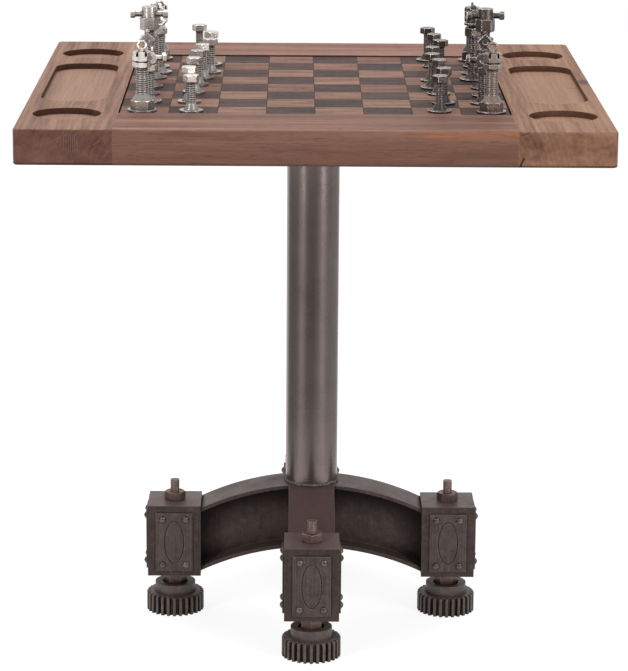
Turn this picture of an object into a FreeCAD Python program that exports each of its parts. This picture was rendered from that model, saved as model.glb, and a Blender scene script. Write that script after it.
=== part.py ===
import FreeCAD, Part
import os
import re

import Sketcher

# Chess table: a framed wooden slab with an inlaid board, on a steel pipe column that stands on
# two crossed arches, each arch end in a box with a levelling foot made from a spur gear.
# Millimetres, +Z up, +X to the right of the board, +Y away from the front edge.
# The origin is on the floor, under the axis of the column.

SIZES = [
    # wooden slab
    ("table_side", 762.0),
    ("table_height", 762.0),
    ("slab_thickness", 46.0),
    ("slab_corner_radius", 8.0),
    ("slab_edge_radius", 2.5),
    # board of squares let into the slab
    ("squares_across", 8),
    ("square_side", 63.5),
    ("square_seam", 0.4),
    ("square_drop", 2.0),
    ("square_thickness", 12.0),
    ("board_gap", 1.5),
    ("panel_thickness", 18.0),
    ("panel_overlap", 10.0),
    ("panel_clearance", 0.3),
    # loose tenons between the rails and the end boards
    ("tenon_length", 50.0),
    ("tenon_width", 60.0),
    ("tenon_thickness", 12.0),
    ("tenon_depth_below_top", 23.0),
    ("tenon_clearance", 0.2),
    # cup recesses and trays in the end boards
    ("cup_diameter", 89.0),
    ("cup_depth", 8.0),
    ("cup_from_edge", 60.0),
    ("cup_spacing", 524.0),
    ("tray_width", 89.0),
    ("tray_length", 330.0),
    ("tray_corner_radius", 36.0),
    ("tray_depth", 8.0),
    # column, its top plate and the plate's screws
    ("column_diameter", 73.0),
    ("column_wall", 5.0),
    ("column_foot_lap", 5.0),
    ("plate_side", 300.0),
    ("plate_thickness", 6.0),
    ("plate_corner_radius", 20.0),
    ("plate_screw_inset", 20.0),
    ("screw_diameter", 5.0),
    ("screw_grip", 14.0),
    ("screw_head_diameter", 10.0),
    ("screw_head_height", 3.0),
    ("screw_clearance", 0.05),
    ("weld_radius", 2.5),
    # arches
    ("arch_crown_height", 194.5),
    ("arch_depth", 92.5),
    ("arch_radius", 360.0),
    ("flange_width", 64.0),
    ("flange_thickness", 5.0),
    ("web_thickness", 5.0),
    # boxes at the arch ends, with their riveted face plates
    ("leg_radius", 194.0),
    ("box_side", 75.0),
    ("box_height", 103.0),
    ("box_wall", 5.0),
    ("face_plate_width", 52.0),
    ("face_plate_height", 85.0),
    ("face_plate_thickness", 2.5),
    ("face_plate_lift", 8.0),
    ("oval_width", 27.0),
    ("oval_height", 62.0),
    ("oval_line_width", 1.8),
    ("oval_line_depth", 1.2),
    ("rivet_spacing_across", 33.0),
    ("rivet_spacing_up", 67.0),
    ("rivet_head_diameter", 10.0),
    ("rivet_head_height", 3.5),
    ("rivet_shank_diameter", 4.0),
    ("rivet_clearance", 0.05),
    # levelling feet
    ("gear_diameter", 81.0),
    ("gear_teeth", 28),
    ("tooth_depth", 5.5),
    ("tooth_root_width", 5.6),
    ("tooth_tip_width", 3.4),
    ("gear_thickness", 27.0),
    ("gear_chamfer", 2.0),
    ("collar_diameter", 57.0),
    ("collar_height", 14.0),
    ("collar_bore", 36.0),
    ("collar_bore_depth", 4.0),
    ("socket_depth", 18.0),
    ("foot_gap", 19.0),
    ("stud_diameter", 13.2),
    ("stud_clearance", 0.05),
    ("stud_end_gap", 0.3),
    ("stud_rise", 29.0),
    ("stud_thread_pitch", 2.5),
    ("stud_thread_depth", 0.8),
    ("neck_nut_flats", 28.0),
    ("neck_nut_height", 18.0),
    ("lock_nut_flats", 26.0),
    ("lock_nut_height", 12.0),
    # chess pieces, welded from bolts, nuts and washers
    ("piece_base_thickness", 3.0),
    ("piece_hub_height", 6.0),
    ("piece_hub_flare", 8.0),
    ("piece_thread_pitch", 2.8),
    ("piece_thread_depth", 0.8),
    ("piece_weld_lap", 0.5),
    ("pawn_base_diameter", 31.0),
    ("pawn_stem_diameter", 11.5),
    ("pawn_hub_height", 9.0),
    ("pawn_head_flats", 18.5),
    ("pawn_head_height", 8.5),
    ("pawn_height", 48.5),
    ("rook_base_diameter", 38.0),
    ("rook_foot_flats", 27.0),
    ("rook_foot_height", 12.0),
    ("rook_shoulder_height", 8.0),
    ("rook_stem_diameter", 16.5),
    ("rook_nut_flats", 22.0),
    ("rook_nut_height", 7.0),
    ("rook_nut_low", 58.0),
    ("castle_gap", 1.2),
    ("castle_height", 12.3),
    ("castle_slot_width", 4.0),
    ("castle_slot_depth", 6.0),
    ("castle_bore_diameter", 11.0),
    ("eye_rise", 7.5),
    ("eye_drop", 7.5),
    ("eye_radius", 5.3),
    ("eye_wire_diameter", 3.4),
    ("eye_shank_diameter", 5.0),
    ("knight_base_diameter", 33.0),
    ("knight_stem_diameter", 12.5),
    ("knight_nut_flats", 19.0),
    ("knight_nut_height", 8.0),
    ("knight_nut_low", 42.0),
    ("knight_head_flats", 18.0),
    ("knight_head_thickness", 9.0),
    ("knight_head_bore", 7.0),
    ("knight_muzzle_diameter", 8.0),
    ("knight_muzzle_reach", 22.0),
    ("knight_muzzle_flats", 12.0),
    ("knight_muzzle_head", 5.0),
    ("knight_ear_height", 6.0),
    ("knight_ear_diameter", 4.0),
    ("knight_ear_spread", 3.5),
    ("bishop_base_diameter", 33.0),
    ("bishop_stem_diameter", 12.5),
    ("bishop_nut_flats", 19.0),
    ("bishop_nut_height", 8.0),
    ("bishop_nut_low", 56.0),
    ("diamond_side", 15.0),
    ("diamond_thickness", 9.0),
    ("diamond_bore", 6.5),
    ("bishop_tip_diameter", 7.0),
    ("queen_base_diameter", 36.0),
    ("queen_stem_diameter", 14.0),
    ("queen_nut_flats", 22.0),
    ("queen_nut_height", 12.0),
    ("queen_nut_low", 62.0),
    ("queen_washer_diameter", 26.0),
    ("queen_washer_thickness", 3.0),
    ("queen_crown_low", 80.0),
    ("queen_crown_diameter", 20.0),
    ("queen_crown_height", 15.0),
    ("queen_slot_width", 2.6),
    ("queen_slot_depth", 8.0),
    ("queen_tip_flats", 10.0),
    ("queen_tip_height", 4.0),
    ("queen_ball_diameter", 8.0),
    ("king_base_diameter", 36.0),
    ("king_stem_diameter", 14.0),
    ("king_nut_flats", 20.0),
    ("king_nut_height", 7.0),
    ("king_nut_low", 64.0),
    ("king_coupling_low", 79.0),
    ("king_coupling_flats", 22.5),
    ("king_coupling_height", 17.0),
    ("king_cap_diameter", 20.5),
    ("king_cap_height", 14.5),
    ("king_arm_diameter", 8.0),
    ("king_arm_span", 51.0),
    ("king_arm_nut_flats", 10.0),
    ("king_arm_nut_length", 6.5),
    ("king_arm_height", 100.5),
    # how far a cutting shape runs past what it cuts
    ("overrun", 1.0),
]

# Radial growth of a nut's chamfer cone for each unit of height.
NUT_CHAMFER_SLOPE_SHARE = 1.73
# The outline of a rivet's dome, from its rim to its top: shares of its radius and of its height.
DOME_SHARES = [(1.0, 0.0), (0.94, 0.24), (0.82, 0.48), (0.64, 0.70), (0.42, 0.87), (0.2, 0.97), (0.0, 1.0)]
# Turns about Z that bring an end at +X to each leg, and a face at -Y to each side.
LEG_TURNS = {"right": 0.0, "back": 90.0, "left": 180.0, "front": 270.0}
FACE_TURNS = {"front": 0.0, "right": 90.0, "back": 180.0, "left": 270.0}
LEG_DIRECTIONS = {"right": (1, 0), "back": (0, 1), "left": (-1, 0), "front": (0, -1)}
OPPOSITE = {"right": "left", "left": "right", "front": "back", "back": "front"}
# Order of the pieces along a player's back rank, from the front edge to the back edge.
BACK_RANK = ["rook_front", "knight_front", "bishop_front", "king",
             "queen", "bishop_back", "knight_back", "rook_back"]
# Where hand-placed pieces stand off the middle of their squares, as shares of a square,
# towards +X and +Y, and how far each is turned, in degrees.
STAND_SHARES = {
    "silver_rook_front": (-0.045, -0.10, 0), "silver_knight_front": (0.05, 0.04, 12),
    "silver_bishop_front": (-0.04, 0.02, 8), "silver_king": (-0.04, 0.0, 0),
    "silver_queen": (-0.01, 0.2, 15), "silver_bishop_back": (0.10, -0.03, -20),
    "silver_knight_back": (0.02, -0.25, -75), "silver_rook_back": (0.0, 0.0, 25),
    "dark_rook_front": (0.125, -0.06, 8), "dark_knight_front": (0.0, 0.03, -10),
    "dark_bishop_front": (0.10, 0.0, 0), "dark_king": (0.16, 0.0, 4),
    "dark_queen": (-0.025, 0.2, 20), "dark_bishop_back": (0.04, 0.0, 12),
    "dark_knight_back": (0.13, 0.02, 68), "dark_rook_back": (0.11, 0.0, 88),
    "silver_pawn_1": (-0.04, -0.15, 10), "silver_pawn_2": (-0.12, 0.0, 22),
    "silver_pawn_3": (-0.06, 0.25, 4), "silver_pawn_4": (-0.02, 0.28, 15),
    "silver_pawn_5": (0.06, 0.22, 27), "silver_pawn_6": (0.21, 0.0, 9),
    "silver_pawn_7": (0.20, 0.15, 18), "silver_pawn_8": (-0.10, 0.25, 2),
    "dark_pawn_1": (0.066, 0.0, 14), "dark_pawn_2": (0.19, 0.02, 5),
    "dark_pawn_3": (0.15, 0.2, 24), "dark_pawn_4": (0.04, 0.02, 11),
    "dark_pawn_5": (0.08, 0.0, 28), "dark_pawn_6": (0.31, 0.03, 7),
    "dark_pawn_7": (0.21, 0.0, 19), "dark_pawn_8": (0.10, -0.02, 3),
}

ALIASES = {alias for alias, value in SIZES}

doc = FreeCAD.newDocument("chess_table")
sheet = doc.addObject("Spreadsheet::Sheet", "Sizes")
for line, (alias, value) in enumerate(SIZES, 1):
    sheet.set("A%d" % line, alias)
    sheet.set("B%d" % line, str(value))
    sheet.setAlias("B%d" % line, alias)
doc.recompute()

nodes = []


# Expressions name sizes by their alias alone: "table_side / 2" is read as "Sizes.table_side / 2".
def linked(expression):
    return re.sub(r"[a-z]\w*", lambda found: "Sizes." + found[0] if found[0] in ALIASES else found[0],
                  expression)


def size(expression):
    return float(sheet.evalExpression(linked(expression)))


def make(kind, name, **expressions):
    item = doc.addObject(kind, name)
    for name, expression in expressions.items():
        item.setExpression(name, linked(expression))
    return item


def at(item, x="0", y="0", z="0"):
    item.setExpression("Placement.Base.x", linked(x))
    item.setExpression("Placement.Base.y", linked(y))
    item.setExpression("Placement.Base.z", linked(z))
    return item


def turned(item, degrees, axis=(0, 0, 1)):
    turn = FreeCAD.Rotation(FreeCAD.Vector(*axis), degrees)
    item.Placement = FreeCAD.Placement(item.Placement.Base, turn)
    return item


# A box centred on x and y, standing on z.
def block(name, along_x, along_y, along_z, x="0", y="0", z="0"):
    item = make("Part::Box", name, Length=along_x, Width=along_y, Height=along_z)
    return at(item, "(%s) - (%s) / 2" % (x, along_x), "(%s) - (%s) / 2" % (y, along_y), z)


def rod(name, diameter, height, x="0", y="0", z="0"):
    return at(make("Part::Cylinder", name, Radius="(%s) / 2" % diameter, Height=height), x, y, z)


# A rod that runs along X or Y, from the point given towards the positive end.
def rod_along(axis, name, diameter, length, x="0", y="0", z="0"):
    item = make("Part::Cylinder", name, Radius="(%s) / 2" % diameter, Height=length)
    turned(item, 90 if axis == "X" else -90, (0, 1, 0) if axis == "X" else (1, 0, 0))
    return at(item, x, y, z)


def taper(name, low_diameter, high_diameter, height, z="0"):
    item = make("Part::Cone", name, Radius1="(%s) / 2" % low_diameter, Radius2="(%s) / 2" % high_diameter,
                Height=height)
    return at(item, z=z)


def fuse(name, parts):
    item = doc.addObject("Part::MultiFuse", name)
    item.Shapes = parts
    return item


def cut(name, base, tools):
    item = doc.addObject("Part::Cut", name)
    item.Base = base
    item.Tool = tools[0] if len(tools) == 1 else group(name + "_tools", tools)
    return item


def common(name, first, second):
    item = doc.addObject("Part::Common", name)
    item.Base = first
    item.Tool = second
    return item


def group(name, parts):
    item = doc.addObject("Part::Compound", name)
    item.Links = parts
    return item


def fillet(name, base, choose, radius):
    doc.recompute()
    item = doc.addObject("Part::Fillet", name)
    item.Base = base
    edges = enumerate(base.Shape.Edges, 1)
    item.Edges = [(number, size(radius), size(radius)) for number, edge in edges if choose(edge)]
    return item


def is_upright(edge):
    box = edge.BoundBox
    return box.ZLength > box.XLength + box.YLength


# A sub-part: its label is its node's name and the name of its file.
def node(item, name):
    item.Label = name
    nodes.append(item)
    return item


# A placed copy of a shape that is made once, such as one kind of chess piece.
def placed(name, master, turn, x, y, z):
    return at(turned(group(name, [master]), turn), x, y, z)


# A hexagon nut or bolt head standing on z, its corners chamfered at the top and, if asked, below.
def hexagon(name, flats, height, z="0", both_ends=True):
    prism = at(make("Part::Prism", name + "_prism", Circumradius="(%s) / 2 / cos(30deg)" % flats,
                    Height=height), z=z)
    spread = "(%s) + (%s) * 2 * %g" % (flats, height, NUT_CHAMFER_SLOPE_SHARE)
    nut = common(name, prism, taper(name + "_top_cone", spread, flats, height, z))
    if both_ends:
        nut = common(name + "_nut", nut, taper(name + "_low_cone", flats, spread, height, z))
    return nut


# A solid turned about Z from its outline, given as points (radius, height) from its low end on the
# axis to its high end on the axis.
def lathe(name, points):
    corners = [FreeCAD.Vector(radius, 0, height) for radius, height in points]
    face = Part.Face(Part.makePolygon(corners + corners[:1]))
    item = doc.addObject("Part::Feature", name)
    item.Shape = face.revolve(FreeCAD.Vector(), FreeCAD.Vector(0, 0, 1), 360)
    return item


# A screwed rod as a stack of rings: a ridge at each turn, a groove half way between.
def threaded_rod(name, diameter, pitch, depth, low, high):
    radius = size(diameter) / 2
    start = size(low)
    end = size(high)
    turns = max(1, round((end - start) / size(pitch)))
    step = (end - start) / turns
    outline = [(0, start)]
    for turn in range(turns):
        outline.append((radius, start + turn * step))
        outline.append((radius - size(depth), start + (turn + 0.5) * step))
    return lathe(name, outline + [(radius, end), (0, end)])


# Wooden slab: two end boards run the full depth, two rails butt between them. All four are
# rebated from below for the panel that carries the board of squares.
BOARD_SIDE = "(squares_across * square_side + 2 * board_gap)"
END_WIDTH = "((table_side - %s) / 2)" % BOARD_SIDE
MEMBER_CENTRE = "((table_side + %s) / 4)" % BOARD_SIDE
SLAB_BOTTOM = "(table_height - slab_thickness)"
SQUARE_TOP = "(table_height - square_drop)"
PANEL_TOP = "(%s - square_thickness)" % SQUARE_TOP
PANEL_BOTTOM = "(%s - panel_thickness)" % PANEL_TOP
REBATE_SIDE = "(%s + 2 * panel_overlap)" % BOARD_SIDE
TENON_LOW = "(table_height - tenon_depth_below_top - tenon_thickness / 2)"
TENON_INSET = "((table_side + %s) / 4)" % REBATE_SIDE

rebate = block("rebate", REBATE_SIDE, REBATE_SIDE, "%s - %s + overrun" % (PANEL_TOP, SLAB_BOTTOM),
               z="%s - overrun" % SLAB_BOTTOM)
mortises = []
tenons = []
for end in (-1, 1):
    for side in (-1, 1):
        spot = ("%d * %s / 2" % (end, BOARD_SIDE), "%d * %s" % (side, TENON_INSET))
        mortises.append(block("mortise", "tenon_length + 2 * tenon_clearance",
                              "tenon_width + 2 * tenon_clearance", "tenon_thickness + 2 * tenon_clearance",
                              spot[0], spot[1], "%s - tenon_clearance" % TENON_LOW))
        tenons.append(block("tenon", "tenon_length", "tenon_width", "tenon_thickness",
                            spot[0], spot[1], TENON_LOW))
joinery = group("joinery", [rebate] + mortises)
node(group("frame_tenons_group", tenons), "frame_tenons")


# An edge that lies level on the outside of the slab, at its top or its bottom.
def is_outer_rim(edge):
    box = edge.BoundBox
    reach = max(abs(box.Center.x), abs(box.Center.y))
    return box.ZLength < size("slab_edge_radius") and reach > size("table_side / 2 - slab_corner_radius")


def end_board(side, sign):
    board = block(side + "_board", END_WIDTH, "table_side", "slab_thickness",
                  "%d * %s" % (sign, MEMBER_CENTRE), "0", SLAB_BOTTOM)

    def is_outer_corner(edge):
        return is_upright(edge) and abs(edge.BoundBox.Center.x) > size("table_side") / 2 - size("overrun")
    board = fillet(side + "_corners", board, is_outer_corner, "slab_corner_radius")
    board = fillet(side + "_rim", board, is_outer_rim, "slab_edge_radius")
    recesses = []
    centre = "%d * (table_side / 2 - cup_from_edge)" % sign
    for end in (-1, 1):
        recesses.append(rod(side + "_cup", "cup_diameter", "cup_depth + overrun", centre,
                            "%d * cup_spacing / 2" % end, "table_height - cup_depth"))
    tray = block(side + "_tray", "tray_width", "tray_length", "tray_depth + overrun", centre, "0",
                 "table_height - tray_depth")
    recesses.append(fillet(side + "_tray_round", tray, is_upright, "tray_corner_radius"))
    return node(cut(side + "_end_board_cut", board, recesses + [joinery]), side + "_end_board")


def rail(side, sign):
    board = block(side + "_rail_blank", BOARD_SIDE, END_WIDTH, "slab_thickness", "0",
                  "%d * %s" % (sign, MEMBER_CENTRE), SLAB_BOTTOM)
    board = fillet(side + "_rim", board, is_outer_rim, "slab_edge_radius")
    return node(cut(side + "_rail_cut", board, [joinery]), side + "_rail")


end_board("left", -1)
end_board("right", 1)
rail("front", -1)
rail("back", 1)

# Board of squares: tiles lie edge to edge on the panel, dark at the near left corner.
colours = {"light": [], "dark": []}
for column in range(int(size("squares_across"))):
    for row in range(int(size("squares_across"))):
        colour = "light" if (column + row + 1) % 2 else "dark"
        spot = ["(%d - (squares_across - 1) / 2) * square_side" % count for count in (column, row)]
        colours[colour].append(block(colour + "_tile", "square_side - square_seam",
                                     "square_side - square_seam", "square_thickness",
                                     spot[0], spot[1], PANEL_TOP))
node(group("light_tiles", colours["light"]), "light_squares")
node(group("dark_tiles", colours["dark"]), "dark_squares")

# Panel under the squares and the column's top plate, held by screws from below.
screw_spots = [(x, y) for x in (-1, 0, 1) for y in (-1, 0, 1) if (x, y) != (0, 0)]
SCREW_REACH = "(plate_side / 2 - plate_screw_inset)"
PLATE_BOTTOM = "(%s - plate_thickness)" % PANEL_BOTTOM
holes = []
screws = []
for x, y in screw_spots:
    spot = ("%d * %s" % (x, SCREW_REACH), "%d * %s" % (y, SCREW_REACH))
    holes.append(rod("screw_hole", "screw_diameter + 2 * screw_clearance",
                     "plate_thickness + screw_grip + screw_clearance + overrun",
                     spot[0], spot[1], "%s - overrun" % PLATE_BOTTOM))
    shank = rod("screw_shank", "screw_diameter", "plate_thickness + screw_grip", spot[0], spot[1],
                PLATE_BOTTOM)
    head = rod("screw_head", "screw_head_diameter", "screw_head_height", spot[0], spot[1],
               "%s - screw_head_height" % PLATE_BOTTOM)
    screws.append(fuse("screw", [shank, head]))
screw_holes = group("screw_holes", holes)
panel = block("panel", "%s - 2 * panel_clearance" % REBATE_SIDE, "%s - 2 * panel_clearance" % REBATE_SIDE,
              "panel_thickness", z=PANEL_BOTTOM)
node(cut("panel_cut", panel, [screw_holes]), "backing_panel")
plate = block("plate", "plate_side", "plate_side", "plate_thickness", z=PLATE_BOTTOM)
plate = fillet("plate_round", plate, is_upright, "plate_corner_radius")
node(cut("plate_cut", plate, [screw_holes]), "mounting_plate")
node(group("screws", screws), "mounting_screws")

# Arches of curved I section. The left to right arch is one piece; the front and back legs butt
# against its flanges and their webs reach its web.
ARCH_END = "(leg_radius - box_side / 2)"
ARCH_FOOT = "(arch_crown_height - arch_depth)"


def arch_drum(name, radius, crown):
    drum = make("Part::Cylinder", name, Radius=radius, Height="2 * flange_width")
    turned(drum, -90, (1, 0, 0))
    return at(drum, "0", "0 - flange_width", "%s - arch_radius" % crown)


def arch_slice(name, inner_end, width):
    length = "(%s - (%s))" % (ARCH_END, inner_end)
    return block(name, length, width, "arch_crown_height + overrun", "(%s) + %s / 2" % (inner_end, length))


def arch_beam(name, flange_start, web_start):
    top = arch_drum(name + "_top", "arch_radius", "arch_crown_height")
    top_inner = arch_drum(name + "_top_inner", "arch_radius - flange_thickness", "arch_crown_height")
    low_outer = arch_drum(name + "_low_outer", "arch_radius + flange_thickness", ARCH_FOOT)
    low = arch_drum(name + "_low", "arch_radius", ARCH_FOOT)
    flange_space = arch_slice(name + "_flange_space", flange_start, "flange_width")
    web_space = arch_slice(name + "_web_space", web_start, "web_thickness")
    top_flange = common(name + "_top_flange", flange_space, cut(name + "_top_ring", top, [top_inner]))
    low_flange = common(name + "_low_flange", flange_space, cut(name + "_low_ring", low_outer, [low]))
    web = common(name + "_web", web_space, cut(name + "_web_ring", top, [low]))
    return fuse(name + "_beam", [top_flange, low_flange, web])


side_arch = node(arch_beam("side", "0 - %s" % ARCH_END, "0 - %s" % ARCH_END), "side_arch")
legs = [side_arch]
for side in ("front", "back"):
    beam = turned(arch_beam(side, "flange_width / 2", "web_thickness / 2"), LEG_TURNS[side])
    legs.append(node(cut(side + "_leg_cut", beam, [side_arch]), side + "_leg"))
arches = group("arches", legs)

# Column: a steel pipe, seated over the crossing of the arches and welded there and at the plate.
COLUMN_LOW = "(arch_crown_height - column_foot_lap)"
COLUMN_LENGTH = "(%s - %s)" % (PLATE_BOTTOM, COLUMN_LOW)
column_solid = rod("column_solid", "column_diameter", COLUMN_LENGTH, z=COLUMN_LOW)
column_bore = rod("column_bore", "column_diameter - 2 * column_wall", "%s + 2 * overrun" % COLUMN_LENGTH,
                  z="%s - overrun" % COLUMN_LOW)
node(cut("column_cut", column_solid, [column_bore, arches]), "column_tube")
welds = []
for end, height in (("foot", "arch_crown_height"), ("head", PLATE_BOTTOM)):
    bead = make("Part::Torus", end + "_bead", Radius1="column_diameter / 2", Radius2="weld_radius")
    bead = at(bead, z=height)
    seat = block(end + "_weld_seat", "plate_side", "plate_side", "plate_thickness", z=PLATE_BOTTOM)
    welds.append(cut(end + "_weld", bead, [column_solid, arches] if end == "foot" else [column_solid, seat]))
node(group("welds", welds), "column_welds")

# Boxes at the arch ends, with a face plate on each of their three free sides.
BOX_LOW = "(gear_thickness + collar_height + foot_gap)"
BOX_TOP = "(%s + box_height)" % BOX_LOW
FACE_LEVEL = "(%s + face_plate_lift + face_plate_height / 2)" % BOX_LOW
rivet_spots = [("%d * rivet_spacing_across / 2" % x, "%d * rivet_spacing_up / 2" % z)
               for x in (-1, 1) for z in (-1, 1)]


rivet_holes = group("rivet_holes", [
    rod_along("Y", "rivet_hole", "rivet_shank_diameter + 2 * rivet_clearance",
              "face_plate_thickness + box_wall + 2 * overrun", x, "0 - face_plate_thickness - overrun", z)
    for x, z in rivet_spots])
oval_rings = []
for name, grow in (("oval_outer", "oval_line_width"), ("oval_inner", "0 - oval_line_width")):
    oval = make("Part::Ellipse", name + "_line", MajorRadius="(oval_height + %s) / 2" % grow,
                MinorRadius="(oval_width + %s) / 2" % grow)
    prism = make("Part::Extrusion", name, LengthFwd="oval_line_depth + overrun")
    prism.Base = oval
    prism.DirMode = "Custom"
    prism.Dir = FreeCAD.Vector(0, 0, 1)
    prism.Solid = True
    oval_rings.append(prism)
oval_ring = cut("oval_ring", oval_rings[0], [oval_rings[1]])
# The ring is drawn flat with its long side along X: stood up, its long side is upright.
upright = FreeCAD.Rotation(FreeCAD.Vector(1, 0, 0), 90) * FreeCAD.Rotation(FreeCAD.Vector(0, 0, 1), 90)
oval_ring.Placement = FreeCAD.Placement(FreeCAD.Vector(), upright)
at(oval_ring, y="oval_line_depth - face_plate_thickness")
face_blank = block("face_blank", "face_plate_width", "face_plate_thickness", "face_plate_height",
                   y="0 - face_plate_thickness / 2", z="0 - face_plate_height / 2")
face_plate = cut("face_plate", face_blank, [rivet_holes, oval_ring])
rivet_end = size("0 - face_plate_thickness - box_wall")
rivet_radius = size("rivet_shank_diameter") / 2
dome_radius = size("rivet_head_diameter") / 2
dome_height = size("rivet_head_height")
rivet_outline = [(0, rivet_end), (rivet_radius, rivet_end), (rivet_radius, 0)]
rivet_outline += [(dome_radius * across, dome_height * up) for across, up in DOME_SHARES]
rivets = [at(turned(lathe("rivet", rivet_outline), 90, (1, 0, 0)), x, "0 - face_plate_thickness", z)
          for x, z in rivet_spots]
rivet_set = group("rivet_set", rivets)

boxes = []
face_plates = []
rivet_sets = []
for side, (across, along) in LEG_DIRECTIONS.items():
    centre = ("%d * leg_radius" % across, "%d * leg_radius" % along)
    cuts = [block(side + "_box_inside", "box_side - 2 * box_wall", "box_side - 2 * box_wall",
                  "box_height - 2 * box_wall", centre[0], centre[1], "%s + box_wall" % BOX_LOW),
            rod(side + "_stud_hole", "stud_diameter + 2 * stud_clearance", "box_height + 2 * overrun",
                centre[0], centre[1], "%s - overrun" % BOX_LOW)]
    for face, turn in FACE_TURNS.items():
        if face == OPPOSITE[side]:
            continue
        out = LEG_DIRECTIONS[face]
        spot = ("%s + %d * box_side / 2" % (centre[0], out[0]),
                "%s + %d * box_side / 2" % (centre[1], out[1]), FACE_LEVEL)
        label = side + "_" + face
        cuts.append(placed(label + "_rivet_holes", rivet_holes, turn, *spot))
        face_plates.append(placed(label + "_plate", face_plate, turn, *spot))
        rivet_sets.append(placed(label + "_rivets", rivet_set, turn, *spot))
    shell = block(side + "_box_shell", "box_side", "box_side", "box_height", centre[0], centre[1], BOX_LOW)
    boxes.append(cut(side + "_box", shell, cuts))
node(group("boxes", boxes), "leg_boxes")
node(group("face_plate_group", face_plates), "face_plates")
node(group("rivet_group", rivet_sets), "plate_rivets")

# Levelling foot: a spur gear stands flat on the floor, its hollow hub holds the stud's neck nut,
# and the stud screws up through the box and the lock nut on top of it.
STUD_LOW = "(gear_thickness + collar_height - collar_bore_depth - socket_depth + stud_end_gap)"
STUD_TOP = "(%s + stud_rise)" % BOX_TOP
NECK_LOW = "(gear_thickness + collar_height - collar_bore_depth + stud_end_gap)"
NUT_TOP = "(%s + lock_nut_height)" % BOX_TOP


# A closed outline on a body's own XY plane, each corner held by the two expressions given.
def outline_sketch(body, name, corners):
    sketch = body.newObject("Sketcher::SketchObject", name)
    planes = [item for item in body.Origin.OriginFeatures if item.Role == "XY_Plane"]
    sketch.AttachmentSupport = [(planes[0], "")]
    sketch.MapMode = "FlatFace"
    points = [FreeCAD.Vector(size(x), size(y), 0) for x, y in corners]
    count = len(points)
    for number in range(count):
        sketch.addGeometry(Part.LineSegment(points[number], points[(number + 1) % count]), False)
    for number in range(count):
        sketch.addConstraint(Sketcher.Constraint("Coincident", number, 2, (number + 1) % count, 1))
    for number, corner in enumerate(corners):
        for direction, expression in zip(("DistanceX", "DistanceY"), corner):
            held = sketch.addConstraint(Sketcher.Constraint(direction, -1, 1, number, 1, size(expression)))
            sketch.setExpression("Constraints[%d]" % held, linked(expression))
    return sketch


gear = doc.addObject("PartDesign::Body", "gear")
gear_disc = gear.newObject("PartDesign::AdditiveCylinder", "gear_disc")
gear_disc.setExpression("Radius", linked("gear_diameter / 2 - tooth_depth"))
gear_disc.setExpression("Height", linked("gear_thickness"))
tooth_root = "gear_diameter / 2 - tooth_depth - overrun"
tooth_sketch = outline_sketch(gear, "tooth_sketch", [
    (tooth_root, "0 - tooth_root_width / 2"), ("gear_diameter / 2", "0 - tooth_tip_width / 2"),
    ("gear_diameter / 2", "tooth_tip_width / 2"), (tooth_root, "tooth_root_width / 2")])
tooth = gear.newObject("PartDesign::Pad", "tooth")
tooth.Profile = tooth_sketch
tooth.setExpression("Length", linked("gear_thickness"))
doc.recompute()
teeth = gear.newObject("PartDesign::PolarPattern", "teeth")
teeth.Originals = [tooth]
teeth.Axis = ([item for item in gear.Origin.OriginFeatures if item.Role == "Z_Axis"][0], [""])
teeth.Angle = 360
teeth.setExpression("Occurrences", linked("gear_teeth"))
gear.Tip = teeth
tip_space = fuse("tip_space", [
    rod("tip_cylinder", "gear_diameter + overrun", "gear_thickness - gear_chamfer"),
    taper("tip_cone", "gear_diameter + overrun", "gear_diameter + overrun - 2 * gear_chamfer",
          "gear_chamfer", "gear_thickness - gear_chamfer")])
HUB_TOP = "(gear_thickness + collar_height)"
gear_hub = rod("gear_hub", "collar_diameter", HUB_TOP)
hub_recess = rod("hub_recess", "collar_bore", "collar_bore_depth + overrun",
                 z="%s - collar_bore_depth" % HUB_TOP)
socket = rod("socket", "stud_diameter + 2 * stud_clearance", "socket_depth + overrun",
             z="%s - collar_bore_depth - socket_depth" % HUB_TOP)
foot_solid = fuse("foot_solid", [common("gear_trimmed", gear, tip_space), gear_hub])
foot = cut("foot", foot_solid, [hub_recess, socket])

stud = fuse("stud", [
    rod("stud_shank", "stud_diameter", "%s - (%s)" % (NUT_TOP, STUD_LOW), z=STUD_LOW),
    threaded_rod("stud_thread", "stud_diameter", "stud_thread_pitch", "stud_thread_depth",
                 NUT_TOP, STUD_TOP),
    hexagon("neck_nut", "neck_nut_flats", "neck_nut_height", NECK_LOW)])
lock_nut_bore = rod("lock_nut_bore", "stud_diameter + 2 * stud_clearance", "lock_nut_height + 2 * overrun",
                    z="%s - overrun" % BOX_TOP)
lock_nut_solid = hexagon("lock_nut_solid", "lock_nut_flats", "lock_nut_height", BOX_TOP)
lock_nut = cut("lock_nut", lock_nut_solid, [lock_nut_bore])

lock_nuts = []
for side, (across, along) in LEG_DIRECTIONS.items():
    spot = ("%d * leg_radius" % across, "%d * leg_radius" % along, "0")
    turn = LEG_TURNS[side]
    node(placed(side + "_foot", foot, turn, *spot), "gear_foot_" + side)
    node(placed(side + "_stud", stud, turn, *spot), "levelling_stud_" + side)
    lock_nuts.append(placed(side + "_lock_nut", lock_nut, turn, *spot))
node(group("lock_nut_group", lock_nuts), "lock_nuts")


# Chess pieces. Each kind is made once, standing on z = 0.
# Foot of every piece: a washer, and a weld cone up to the stem.
def piece_foot(kind, stem, hub_height="piece_hub_height"):
    return [rod(kind + "_base", kind + "_base_diameter", "piece_base_thickness"),
            taper(kind + "_hub", "%s + piece_hub_flare" % stem, stem, hub_height, "piece_base_thickness")]


def piece_stem(kind, stem, low, high):
    return threaded_rod(kind + "_stem", stem, "piece_thread_pitch", "piece_thread_depth", low, high)


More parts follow.
